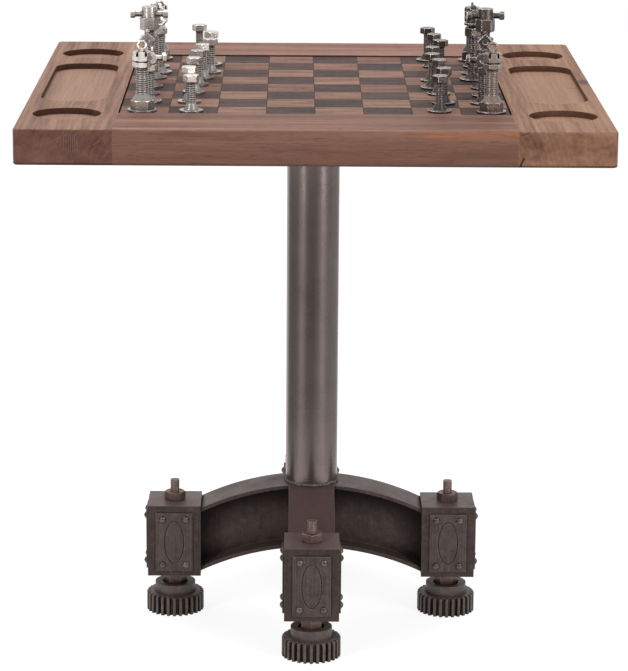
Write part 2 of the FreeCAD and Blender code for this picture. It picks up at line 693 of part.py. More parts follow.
PAWN_HEAD_LOW = "(pawn_height - pawn_head_height)"
pawn = fuse("pawn", piece_foot("pawn", "pawn_stem_diameter", "pawn_hub_height") + [
    piece_stem("pawn", "pawn_stem_diameter", "piece_base_thickness", "%s + piece_weld_lap" % PAWN_HEAD_LOW),
    hexagon("pawn_head", "pawn_head_flats", "pawn_head_height", PAWN_HEAD_LOW, both_ends=False)])

# Rook: a nut and a shoulder at the foot, a plain nut and a slotted nut above, and an eye standing
# in the slotted nut. The eye sits lower on the two back rooks.
ROOK_SHOULDER_LOW = "(piece_base_thickness + rook_foot_height)"
CASTLE_LOW = "(rook_nut_low + rook_nut_height + castle_gap)"
CASTLE_TOP = "(%s + castle_height)" % CASTLE_LOW
CASTLE_FLOOR = "(%s - castle_slot_depth)" % CASTLE_TOP
castle_cuts = [rod("castle_bore", "castle_bore_diameter", "castle_slot_depth + overrun", z=CASTLE_FLOOR)]
for turn in (0, 60, 120):
    slot = block("castle_slot", "2 * rook_nut_flats", "castle_slot_width", "castle_slot_depth + overrun")
    castle_cuts.append(placed("castle_slot_turned", slot, turn, "0", "0", CASTLE_FLOOR))
castle = cut("castle", hexagon("castle_nut", "rook_nut_flats", "castle_height", CASTLE_LOW),
             castle_cuts)
rook_parts = [
    rod("rook_base", "rook_base_diameter", "piece_base_thickness"),
    hexagon("rook_foot", "rook_foot_flats", "rook_foot_height", "piece_base_thickness", both_ends=False),
    taper("rook_shoulder", "rook_foot_flats", "rook_stem_diameter", "rook_shoulder_height",
          ROOK_SHOULDER_LOW),
    piece_stem("rook", "rook_stem_diameter", ROOK_SHOULDER_LOW, "%s + piece_weld_lap" % CASTLE_LOW),
    hexagon("rook_nut", "rook_nut_flats", "rook_nut_height", "rook_nut_low"), castle]


def rook_with_eye(name, rise):
    middle = "(%s + %s)" % (CASTLE_TOP, rise)
    ring = make("Part::Torus", name + "_eye", Radius1="eye_radius", Radius2="eye_wire_diameter / 2")
    ring = at(turned(ring, 90, (1, 0, 0)), z=middle)
    shank_low = "(%s - piece_weld_lap)" % CASTLE_FLOOR
    shank_length = "%s - eye_radius - %s" % (middle, shank_low)
    shank = rod(name + "_shank", "eye_shank_diameter", shank_length, z=shank_low)
    return fuse(name, rook_parts + [shank, ring])


front_rook = rook_with_eye("front_rook", "eye_rise")
back_rook = rook_with_eye("back_rook", "eye_rise - eye_drop")

# Knight: a nut on edge is the head, a bolt through it the muzzle, two short studs the ears.
KNIGHT_HEAD = "(knight_nut_low + knight_nut_height + knight_head_flats / 2 - piece_weld_lap)"
knight_face = hexagon("knight_face", "knight_head_flats", "knight_head_thickness")
knight_bore = rod("knight_bore", "knight_head_bore", "knight_head_thickness + 2 * overrun", z="0 - overrun")
knight_head = turned(cut("knight_head", knight_face, [knight_bore]), 90, (1, 0, 0))
at(knight_head, y="knight_head_thickness / 2", z=KNIGHT_HEAD)
muzzle_start = "knight_head_flats / 2 - piece_weld_lap"
muzzle = rod_along("X", "muzzle", "knight_muzzle_diameter", "knight_muzzle_reach - (%s)" % muzzle_start,
                   muzzle_start, "0", KNIGHT_HEAD)
muzzle_head = turned(hexagon("muzzle_head", "knight_muzzle_flats", "knight_muzzle_head"), 90, (0, 1, 0))
at(muzzle_head, "knight_muzzle_reach - knight_muzzle_head", "0", KNIGHT_HEAD)
EAR_LOW = "%s + knight_head_flats / 2 - piece_weld_lap" % KNIGHT_HEAD
ears = [rod("ear", "knight_ear_diameter", "knight_ear_height + piece_weld_lap",
            "%d * knight_ear_spread" % side, "0", EAR_LOW) for side in (-1, 1)]
knight = fuse("knight", piece_foot("knight", "knight_stem_diameter") + [
    piece_stem("knight", "knight_stem_diameter", "piece_base_thickness",
               "knight_nut_low + knight_nut_height"),
    hexagon("knight_nut", "knight_nut_flats", "knight_nut_height", "knight_nut_low"),
    knight_head, muzzle, muzzle_head] + ears)

# Bishop: a square nut on its corner, with a small dome on top.
DIAMOND_RISE = "(diamond_side * cos(45deg))"
DIAMOND_HEIGHT = "(bishop_nut_low + bishop_nut_height + %s - piece_weld_lap)" % DIAMOND_RISE
diamond_blank = block("diamond_blank", "diamond_side", "diamond_thickness", "diamond_side",
                      z="0 - diamond_side / 2")
diamond_hole = rod_along("Y", "diamond_hole", "diamond_bore", "diamond_thickness + 2 * overrun",
                         "0", "0 - diamond_thickness / 2 - overrun", "0")
diamond = turned(cut("diamond", diamond_blank, [diamond_hole]), 45, (0, 1, 0))
at(diamond, z=DIAMOND_HEIGHT)
bishop_tip = at(make("Part::Sphere", "bishop_tip", Radius="bishop_tip_diameter / 2"),
                z="%s + %s" % (DIAMOND_HEIGHT, DIAMOND_RISE))
bishop = fuse("bishop", piece_foot("bishop", "bishop_stem_diameter") + [
    piece_stem("bishop", "bishop_stem_diameter", "piece_base_thickness",
               "bishop_nut_low + bishop_nut_height"),
    hexagon("bishop_nut", "bishop_nut_flats", "bishop_nut_height", "bishop_nut_low"), diamond, bishop_tip])

# Queen: a washer under a slotted crown, with a ball at the tip.
CROWN_TOP = "(queen_crown_low + queen_crown_height)"
crown_cuts = []
for turn in (0, 45, 90, 135):
    slot = block("crown_slot", "2 * queen_crown_diameter", "queen_slot_width", "queen_slot_depth + overrun")
    crown_cuts.append(placed("crown_slot_turned", slot, turn, "0", "0", "%s - queen_slot_depth" % CROWN_TOP))
crown = cut("crown", rod("crown_blank", "queen_crown_diameter", "queen_crown_height", z="queen_crown_low"),
            crown_cuts)
queen = fuse("queen", piece_foot("queen", "queen_stem_diameter") + [
    piece_stem("queen", "queen_stem_diameter", "piece_base_thickness",
               "queen_crown_low + piece_weld_lap"),
    hexagon("queen_nut", "queen_nut_flats", "queen_nut_height", "queen_nut_low"),
    rod("queen_washer", "queen_washer_diameter", "queen_washer_thickness",
        z="queen_crown_low - queen_washer_thickness + piece_weld_lap"),
    crown,
    rod("queen_core", "queen_tip_flats", "queen_crown_height", z="queen_crown_low"),
    hexagon("queen_tip", "queen_tip_flats", "queen_tip_height", CROWN_TOP, both_ends=False),
    at(make("Part::Sphere", "queen_ball", Radius="queen_ball_diameter / 2"),
       z="%s + queen_tip_height + queen_ball_diameter / 4" % CROWN_TOP)])

# King: a coupling nut and a round cap, crossed by a rod with a nut at each end.
CAP_LOW = "(king_coupling_low + king_coupling_height)"
arm = rod_along("X", "king_arm", "king_arm_diameter", "king_arm_span - king_arm_nut_length",
                "(king_arm_nut_length - king_arm_span) / 2", "0", "king_arm_height")
arm_nuts = []
for side in (-1, 1):
    arm_nut = turned(hexagon("arm_nut", "king_arm_nut_flats", "king_arm_nut_length"), 90, (0, 1, 0))
    arm_nut_start = "%d * (king_arm_span - king_arm_nut_length) / 2 - king_arm_nut_length / 2" % side
    arm_nuts.append(at(arm_nut, arm_nut_start, "0", "king_arm_height"))
king = fuse("king", piece_foot("king", "king_stem_diameter") + [
    piece_stem("king", "king_stem_diameter", "piece_base_thickness", "king_coupling_low + piece_weld_lap"),
    hexagon("king_nut", "king_nut_flats", "king_nut_height", "king_nut_low"),
    hexagon("king_coupling", "king_coupling_flats", "king_coupling_height", "king_coupling_low"),
    rod("king_cap", "king_cap_diameter", "king_cap_height", z=CAP_LOW),
    arm] + arm_nuts)

MASTERS = {"pawn": pawn, "rook_front": front_rook, "rook_back": back_rook, "knight": knight,
           "bishop": bishop, "queen": queen, "king": king}


def stand_piece(name, column, row):
    kind = [word for word in MASTERS if word in name][0]
    share_x, share_y, turn = STAND_SHARES[name]
    face = 0 if column < 2 else 180
    spot = ["(%d - (squares_across - 1) / 2 + %g) * square_side" % (count, share)
            for count, share in ((column, share_x), (row, share_y))]
    node(placed(name + "_piece", MASTERS[kind], face + turn, spot[0], spot[1], SQUARE_TOP), name)


for row, rank in enumerate(BACK_RANK):
    stand_piece("silver_" + rank, 0, row)
    stand_piece("silver_pawn_%d" % (row + 1), 1, row)
    stand_piece("dark_pawn_%d" % (row + 1), 6, row)
    stand_piece("dark_" + rank, 7, row)

doc.recompute()
faults = [item.Name for item in doc.Objects if "Invalid" in item.State or "Error" in item.State]
for item in nodes:
    if item.Shape.isNull() or not item.Shape.isValid() or not item.Shape.Solids:
        faults.append(item.Label)
if faults:
    raise RuntimeError("failed objects: " + ", ".join(faults))

os.makedirs("parts", exist_ok=True)
for item in nodes:
    item.Shape.exportStep("parts/%s.step" % item.Label)
print("%d nodes written" % len(nodes))
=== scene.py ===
import math

import bpy
from mathutils import Matrix, Vector

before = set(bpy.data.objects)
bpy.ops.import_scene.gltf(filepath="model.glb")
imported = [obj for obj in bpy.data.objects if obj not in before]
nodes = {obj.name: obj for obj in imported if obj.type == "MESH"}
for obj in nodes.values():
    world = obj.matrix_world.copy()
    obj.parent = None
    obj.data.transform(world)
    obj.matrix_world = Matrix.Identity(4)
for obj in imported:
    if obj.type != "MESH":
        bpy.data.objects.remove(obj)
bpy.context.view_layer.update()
link_object = bpy.context.scene.collection.objects.link

# Places on the table that the patterns follow, in metres: the slab's upper side, its underside and the
# floor of its recesses, the side of a square, and the height above which dust and painted light lie on level
# steel.
TOP, UNDERSIDE = 0.762, 0.716
RECESS_FLOOR = TOP - 0.008
SQUARE = 0.0635
DUST_AND_LIGHT_FROM = 0.115

# Pairs of values between which a share goes from 0 to 1: y where the chess pieces' front row begins,
# the distance from the table's middle at which its outer faces end, and the part of a normal along an
# axis, for faces that are square to the axis and for those that aren't.
FRONT_ROW = (-0.185, -0.195)
INSIDE_RIM = (0.3735, 0.3715)
FACING, ASIDE = (0.6, 0.8), (0.7, 0.4)

WAXED_SPECULAR = 0.08
EDGE_SAMPLES = 6
WHITE = (1.0, 1.0, 1.0)


# Colours are written as they look, from 0 to 255, and become linear light.
def linear(red, green, blue):
    return tuple(((c / 255 + 0.055) / 1.055) ** 2.4 for c in (red, green, blue))


def linears(*colours):
    return [linear(*colour) for colour in colours]


def shaded(tone, factor):
    return tuple(min(1, c * factor) for c in tone)


# A node tree, built from values, sockets and sums of them.
class Tree:
    def __init__(self, tree):
        self.tree = tree

    def node(self, kind, inputs=None, **settings):
        made = self.tree.nodes.new("ShaderNode" + kind)
        for name, value in settings.items():
            setattr(made, name, value)
        for name, value in (inputs or {}).items():
            self.put(made.inputs[name], value)
        return made

    def put(self, socket, value):
        if isinstance(value, bpy.types.NodeSocket):
            self.tree.links.new(value, socket)
        elif socket.type == "RGBA":
            socket.default_value = (*value, 1)
        else:
            socket.default_value = value

    def math(self, operation, a, b=0.0, clamp=False):
        return self.node("Math", {0: a, 1: b}, operation=operation, use_clamp=clamp).outputs[0]

    def times(self, first, *others):
        for other in others:
            first = self.math("MULTIPLY", first, other)
        return first

    def plus(self, a, b, clamp=False):
        return self.math("ADD", a, b, clamp)

    def minus(self, a, b, clamp=False):
        return self.math("SUBTRACT", a, b, clamp)

    def most(self, a, b):
        return self.math("MAXIMUM", a, b)

    # The sum of values, each given with its weight.
    def weigh(self, *terms):
        parts = [self.times(value, weight) for value, weight in terms]
        total = parts[0]
        for part in parts[1:]:
            total = self.plus(total, part)
        return total


# A material. Every pattern is drawn in object coordinates, in metres.
class Graph(Tree):
    def __init__(self, name):
        self.material = bpy.data.materials.new(name)
        self.material.use_nodes = True
        super().__init__(self.material.node_tree)
        self.shader = self.tree.nodes["Principled BSDF"]
        coordinates = self.node("TexCoord").outputs
        self.place, self.normal = coordinates["Object"], coordinates["Normal"]

    def set(self, name, value):
        self.put(self.shader.inputs[name], value)

    def vector(self, operation, a, b=(0, 0, 0)):
        made = self.node("VectorMath", {0: a, 1: b}, operation=operation)
        return made.outputs["Value" if operation in ("LENGTH", "DOT_PRODUCT", "DISTANCE") else "Vector"]

    def scaled(self, x, y, z, place=None):
        return self.vector("MULTIPLY", place or self.place, (x, y, z))

    def split(self, place):
        return list(self.node("SeparateXYZ", {0: place}).outputs)

    def join(self, x, y, z):
        return self.node("CombineXYZ", {0: x, 1: y, 2: z}).outputs[0]

    def noise(self, place, scale=1.0, detail=3.0, roughness=0.5, distortion=0.0):
        return self.node("TexNoise", {"Vector": place, "Scale": scale, "Detail": detail,
                                      "Roughness": roughness, "Distortion": distortion}).outputs[0]

    # Random numbers, the same all over each cell of a grid.
    def cells(self, *sides):
        cell = self.vector("FLOOR", self.vector("DIVIDE", self.place, sides))
        return self.node("TexWhiteNoise", {0: cell}, noise_dimensions="3D").outputs

    def fit(self, value, low, high, to_low=0.0, to_high=1.0):
        return self.node("MapRange", {0: value, 1: low, 2: high, 3: to_low, 4: to_high},
                         interpolation_type="SMOOTHSTEP").outputs[0]

    # 1 inside a range of a value and 0 outside it, with soft ends.
    def window(self, value, low, high, soft):
        return self.times(self.fit(value, low - soft, low), self.fit(value, high + soft, high))

    def ramp(self, value, *stops):
        made = self.node("ValToRGB", {0: value})
        points = made.color_ramp.elements
        while len(points) < len(stops):
            points.new(0.5)
        for point, (position, colour) in zip(points, stops):
            point.position = position
            point.color = (*colour, 1)
        return made.outputs[0]

    # Sockets 6 and 7, and 2 behind, are those of Mix that carry colours.
    def mix(self, share, a, b):
        return self.node("Mix", {0: share, 6: a, 7: b}, data_type="RGBA").outputs[2]

    # Lays a tone over the colour so far, as strongly as the product of the shares says.
    def paint(self, tone, *shares):
        self.colour = self.mix(self.times(*shares), self.colour, tone)

    # Where a wider rounding would take an edge off, and the normal of that rounding.
    def wear_and_highlight_edges(self, radius, low, high):
        soft = self.node("Bevel", {"Radius": radius}, samples=EDGE_SAMPLES).outputs[0]
        sharp = self.node("NewGeometry").outputs["Normal"]
        bend = self.minus(1.0, self.vector("DOT_PRODUCT", soft, sharp))
        return self.fit(bend, low, high), soft

    # Where little light reaches; with lift, light from above counts most.
    def hollows(self, distance, low, high, lift=0.0):
        inputs = {"Distance": distance}
        if lift:
            sharp = self.node("NewGeometry").outputs["Normal"]
            inputs["Normal"] = self.vector("NORMALIZE", self.vector("ADD", sharp, (0, 0, lift)))
        light = self.node("AmbientOcclusion", inputs, samples=EDGE_SAMPLES).outputs["AO"]
        return self.fit(light, high, low)

    # A straight scratch on a face, in the plane of two coordinates.
    def scratch(self, a, b, start, end, width, strength):
        length = math.dist(start, end)
        ua, ub = ((finish - begin) / length for begin, finish in zip(start, end))
        da, db = self.minus(a, start[0]), self.minus(b, start[1])
        run = self.weigh((da, ua), (db, ub))
        off = self.math("ABSOLUTE", self.weigh((da, ub), (db, -ua)))
        ends = self.window(run, 0, length, length * 0.15)
        return self.times(ends, self.fit(off, width, width * 0.3), strength)

    # Wood is glossier in its dense parts than in its pores.
    def wooden_roughness(self, fibre, pores):
        return self.fit(self.plus(fibre, pores), 0.2, 1.6, 0.5, 0.8)

    def finish(self, relief, specular, metallic=0.0, normal=None):
        bump = {"Height": self.height, "Distance": relief, "Strength": 1.0}
        if normal:
            bump["Normal"] = normal
        self.set("Base Color", self.colour)
        self.set("Metallic", metallic)
        self.set("Roughness", self.rough)
        self.set("Specular IOR Level", specular)
        self.set("Normal", self.node("Bump", bump).outputs[0])
        return self.material


# Solid wood with its grain along one axis. The heart of the log lies beside the board, so that long
# faces show lines and end faces show rings.
class Wood(Graph):
    def __init__(self, name, along, heart, tones, end_tones, seed=0.0):
        super().__init__(name)
        self.x, self.y, self.z = self.split(self.place)
        self.facing = self.split(self.vector("ABSOLUTE", self.normal))
        order = {"x": (0, 1, 2), "y": (1, 0, 2)}[along]
        axes = self.split(self.vector("ADD", self.place, (seed, seed, 0)))
        self.axes = [axes[number] for number in order]
        self.cross = self.fit(self.facing[order[0]], *FACING)

        ring = self.rings(heart[0] + seed, heart[1])
        fibre = self.stretched(16, 800, 4, 0.6)
        self.streak = self.stretched(5, 190, 4, 0.65)
        self.band = self.stretched(1.6, 30, 3, 0.6, 0.4)
        stripe = self.stretched(3, 75, 3, 0.6)
        pores = self.fit(self.stretched(55, 1500, 1), 0.60, 0.74)
        tone = self.weigh((fibre, 0.32), (self.streak, 0.52), (self.band, 0.75), (stripe, 0.65),
                          (ring, -0.10), (pores, -0.10))
        self.colour = self.ramp(self.minus(tone, 0.56, clamp=True), *zip((0.22, 0.44, 0.62, 0.82), tones))
        self.height = self.weigh((fibre, 0.6), (pores, -0.5), (ring, -0.3))
        self.rough = self.wooden_roughness(fibre, pores)

        # End grain: rings and flecks on a body of its own tones.
        fleck = self.noise(self.scaled(60, 60, 60), detail=5, roughness=0.7)
        fine = self.noise(self.scaled(420, 420, 420), detail=3, roughness=0.7)
        cloud = self.noise(self.scaled(11, 11, 26), detail=3)
        end_tone = self.weigh((fleck, 0.6375), (fine, 0.1125), (cloud, 0.5), (ring, -0.05))
        self.paint(self.ramp(end_tone, *zip((0.38, 0.55, 0.74), end_tones)), self.cross)
        self.wear_and_painted_light(tones)

    def stretched(self, along, across, detail, roughness=0.5, distortion=0.0):
        u, v, w = self.axes
        place = self.join(self.times(u, along), self.times(v, across), self.times(w, across))
        return self.noise(place, detail=detail, roughness=roughness, distortion=distortion)

    def rings(self, heart_v, heart_w):
        spacing = 0.0065
        sway = self.times(self.minus(self.stretched(2.0, 6.0, 2), 0.5), 0.05)
        v, w = self.minus(self.axes[1], heart_v), self.minus(self.axes[2], heart_w)
        radius = self.plus(self.vector("LENGTH", self.join(0, v, w)), sway)
        uneven = self.noise(self.join(self.times(radius, 70), 0, 0), detail=3)
        radius = self.plus(radius, self.times(uneven, 0.006))
        turn = self.math("FRACT", self.math("DIVIDE", radius, spacing))
        ring = self.times(self.fit(turn, 0.2, 0.9), self.fit(turn, 1.0, 0.92))
        return self.times(ring, self.fit(self.stretched(1.2, 9.0, 2), 0.35, 0.65, 0.25, 1.0))

    def wear_and_painted_light(self, tones):
        # Recesses: dark walls, painted shade with some old polish, and a paler floor.
        across, along = self.math("ABSOLUTE", self.x), self.math("ABSOLUTE", self.y)
        inner = self.times(self.fit(across, *INSIDE_RIM), self.fit(along, *INSIDE_RIM))
        steep, level = self.fit(self.facing[2], *ASIDE), self.fit(self.facing[2], *FACING)
        wall = self.times(steep, self.window(self.z, RECESS_FLOOR - 0.0005, TOP + 0.001, 0.0004), inner)
        self.paint(linear(58, 36, 27), wall, 0.72)
        floor_level = self.window(self.z, RECESS_FLOOR - 0.001, RECESS_FLOOR + 0.0005, 0.0003)
        self.paint(shaded(tones[3], 1.05), self.times(floor_level, self.times(inner, level)), 0.45)
        # Arrises: rubbed lighter in places, partly a painted highlight; corners get painted shade, and the
        # lower arris is darker, painted shade with dirt from handling.
        wear_and_highlight = self.wear_and_highlight_edges(0.003, 0.03, 0.3)[0]
        rubbed_and_highlit = self.fit(self.noise(self.scaled(40, 40, 40), detail=4), 0.35, 0.6)
        self.paint(shaded(tones[2], 1.5), wear_and_highlight, rubbed_and_highlit, 0.35)
        self.paint(shaded(tones[0], 0.35), self.hollows(0.006, 0.3, 0.75), 0.6)
        patches = self.fit(self.noise(self.scaled(30, 30, 30), detail=3), 0.25, 0.55, 0.6, 1.0)
        lower = self.times(self.fit(self.z, UNDERSIDE + 0.0042, UNDERSIDE + 0.0018), steep, patches)
        self.paint(linear(60, 48, 48), lower, 0.9)


def finish_wood(g):
    return g.finish(relief=0.0005, specular=WAXED_SPECULAR)


# End boards: the left one has hatching from the saw on its end grain, the right one cracks and a knot,
# and both have scratches there. Places are counted outwards from the table's middle, and upwards.
def end_board_wood(name, side, tones, end_tones, scratches):
    g = Wood(name, "y", (side * 0.21, 0.70), tones, end_tones, seed=3.1 * side)
    x = g.times(g.x, side)
    front = g.times(g.cross, g.fit(g.y, -0.36, -0.38))
    marks = 0.0
    if side < 0:
        # In radians per metre: one line of the saw every 2.7 mm.
        lines = g.fit(g.math("SINE", g.times(g.x, 2300)), 0.2, 0.9)
        patch = g.times(g.window(x, 0.300, 0.316, 0.004), g.window(g.z, 0.735, 0.755, 0.004))
        marks = g.times(lines, patch, 0.42)
    for number, (start, end) in enumerate(scratches):
        marks = g.most(marks, g.scratch(x, g.z, start, end, 0.0009, 0.24 - 0.05 * (number % 3)))
    g.paint(linear(150, 118, 106), marks, front)
    g.height = g.minus(g.height, g.times(marks, front, 0.5))
    if side > 0:
        smudge = g.fit(g.noise(g.scaled(30, 30, 60), detail=4), 0.5, 0.7)
        g.paint(linear(80, 54, 46), g.times(g.window(x, 0.258, 0.30, 0.02), smudge), 0.5, front)
        crack = g.most(g.scratch(x, g.z, (0.257, UNDERSIDE), (0.262, 0.728), 0.0022, 0.9),
                       g.scratch(x, g.z, (0.258, 0.757), (0.268, 0.761), 0.0014, 0.6))
        g.paint(linear(52, 34, 28), crack, front)
        level = g.fit(g.facing[2], *FACING)
        knot = g.scaled(1.0, 0.35, 0, g.vector("SUBTRACT", g.place, (0.374, 0.02, TOP)))
        knot = g.times(g.fit(g.vector("LENGTH", knot), 0.011, 0.004), level)
        check = g.times(g.scratch(x, g.y, (0.352, 0.012), (0.378, 0.018), 0.0022, 0.85), level)
        g.paint(linear(70, 46, 37), g.most(knot, check), 0.8)
    return finish_wood(g)


RAIL = linears((85, 57, 46), (117, 83, 70), (136, 100, 85), (154, 119, 103))
END = linears((78, 50, 43), (106, 74, 65), (126, 92, 81))
left_wood = end_board_wood(
    "left_end_wood", -1, linears((89, 62, 49), (124, 91, 75), (144, 110, 91), (162, 130, 111)), END,
    [((0.264, 0.754), (0.276, 0.745)), ((0.272, 0.747), (0.287, 0.738)), ((0.284, 0.741), (0.296, 0.728)),
     ((0.320, 0.753), (0.337, 0.744)), ((0.322, 0.750), (0.332, 0.736)), ((0.327, 0.741), (0.341, 0.733)),
     ((0.256, 0.738), (0.266, 0.728)), ((0.345, 0.735), (0.358, 0.730))])
right_wood = end_board_wood(
    "right_end_wood", 1, linears((92, 62, 48), (127, 92, 73), (148, 111, 89), (166, 129, 107)),
    linears((108, 72, 56), (143, 104, 84), (168, 127, 104)),
    [((0.262, 0.757), (0.292, 0.749)), ((0.280, 0.728), (0.315, 0.741)), ((0.305, 0.732), (0.350, 0.752)),
     ((0.330, 0.724), (0.372, 0.742)), ((0.345, 0.744), (0.374, 0.756))])


# Rails: the front one is warmer towards its right end, the back one carries marks of the plane.
def rail_wood(name, side, tones):
    g = Wood(name, "x", (side * -0.05, 0.60), tones, END, seed=1.7 * side)
    level = g.fit(g.facing[2], *FACING)
    if side < 0:
        upright = g.fit(g.facing[1], *FACING)
        g.paint(linear(141, 104, 89), upright, 0.45)
        # Painted shade: the front face is darker towards the bottom.
        g.paint(linear(98, 68, 58), g.fit(g.z, 0.757, 0.722), upright, 0.30)
        glow = g.times(g.window(g.x, 0.165, 0.245, 0.06), g.fit(g.z, 0.748, 0.757), upright)
        g.paint(linear(176, 118, 84), glow, g.fit(g.streak, 0.35, 0.65), 0.65)
        speck = g.vector("DISTANCE", g.place, (0.031, -0.366, TOP))
        g.paint(linear(66, 42, 34), g.fit(speck, 0.0035, 0.0012), 0.9)
        g.paint(linear(96, 70, 66), g.window(g.y, -0.292, -0.258, 0.012), level, 0.28)
    else:
        strip = g.times(g.window(g.x, -0.125, 0.150, 0.02), g.window(g.y, 0.2575, 0.279, 0.004), level,
                        g.fit(g.band, 0.3, 0.6, 0.5, 1.0))
        ticks = g.times(g.fit(g.math("SINE", g.weigh((g.x, 2100), (g.y, 900))), -0.2, 0.8), strip)
        g.paint(linear(116, 86, 76), strip, 0.30)
        g.paint(linear(186, 158, 144), ticks, 0.55)
        g.height = g.minus(g.height, ticks)
    return finish_wood(g)


front_rail_wood = rail_wood("front_rail_wood", -1, RAIL)
back_rail_wood = rail_wood(
    "back_rail_wood", 1, linears((91, 61, 50), (126, 89, 75), (146, 107, 91), (165, 128, 111)))
PLAIN = linears((120, 90, 62), (150, 116, 84), (172, 138, 104), (190, 156, 122))
plain_wood = finish_wood(Wood("hidden_wood", "x", (0.0, 0.5), PLAIN, PLAIN[:3]))


# Squares: each tile has its own place in the grain and its own tone; the saw left a light chatter, and
# old wax lies in the gaps.
def tiles(name, tones, pore_depth):
    g = Graph(name)
    own = g.cells(SQUARE, SQUARE, 1)
    moved = g.vector("ADD", g.place, g.scaled(3, 3, 0, own["Color"]))
    fibre = g.noise(g.scaled(26, 800, 60, moved), detail=4, roughness=0.6)
    streak = g.noise(g.scaled(7, 150, 20, moved), detail=4, roughness=0.65)
    cloud = g.noise(g.scaled(14, 40, 20, moved), detail=3)
    pores = g.fit(g.noise(g.scaled(90, 1800, 100, moved), detail=1), 0.62, 0.74)
    saw = g.noise(g.scaled(900, 60, 60, moved), detail=1)
    broad = g.noise(g.scaled(9, 75, 20, moved), detail=3, roughness=0.6)
    tone = g.weigh((fibre, 0.30), (streak, 0.45), (cloud, 0.55), (broad, 0.9), (own["Value"], 0.2),
                   (saw, 0.10), (pores, -pore_depth))
    g.colour = g.ramp(g.minus(tone, 0.62, clamp=True), *zip((0.30, 0.52, 0.68, 0.90), tones))
    share = g.vector("FRACTION", g.vector("DIVIDE", g.place, (SQUARE, SQUARE, 1)))
    inside = g.split(g.vector("ABSOLUTE", g.vector("SUBTRACT", share, (0.5, 0.5, 0))))
    g.paint(shaded(tones[0], 0.5), g.fit(g.most(inside[0], inside[1]), 0.488, 0.497), 0.55)
    g.height = g.minus(g.plus(fibre, g.times(saw, 0.4)), pores)
    g.rough = g.wooden_roughness(fibre, pores)
    return g.finish(relief=0.0004, specular=WAXED_SPECULAR)


light_tile = tiles("brown_tile", linears((90, 60, 48), (117, 83, 70), (136, 101, 86), (155, 118, 103)), 0.14)
dark_tile = tiles("charcoal_tile", linears((38, 26, 23), (55, 39, 35), (67, 49, 44), (84, 63, 57)), 0.098)


# Chess pieces: threads, known by their slope, and feet are darker than nuts, a painted shade. No two pieces
# are equally dull, and those of the front row are the brightest. The front rook of the dark set can have a
# tone of its own.
def chess_tones_and_shade(g, tone, mottle, threads, feet=0.0, variety=0.0, rook=None):
    darker_tone = shaded(tone, 0.25)
    slope = g.math("ABSOLUTE", g.split(g.normal)[2])
    g.paint(darker_tone, g.window(slope, 0.40, 0.57, 0.03), threads)
    x, y, z = g.split(g.place)
    g.paint(darker_tone, g.fit(z, TOP + 0.024, TOP + 0.012), feet, g.fit(mottle, 0.35, 0.65, 0.5, 1.0))
    own = g.cells(SQUARE, SQUARE, 9)
    bright = g.most(g.times(own["Value"], 0.8), g.fit(y, *FRONT_ROW))
    g.paint(darker_tone, g.minus(1.0, bright), variety)
    if rook:
        g.paint(rook, g.times(g.fit(x, 0.185, 0.195), g.fit(y, *FRONT_ROW)), 0.5)


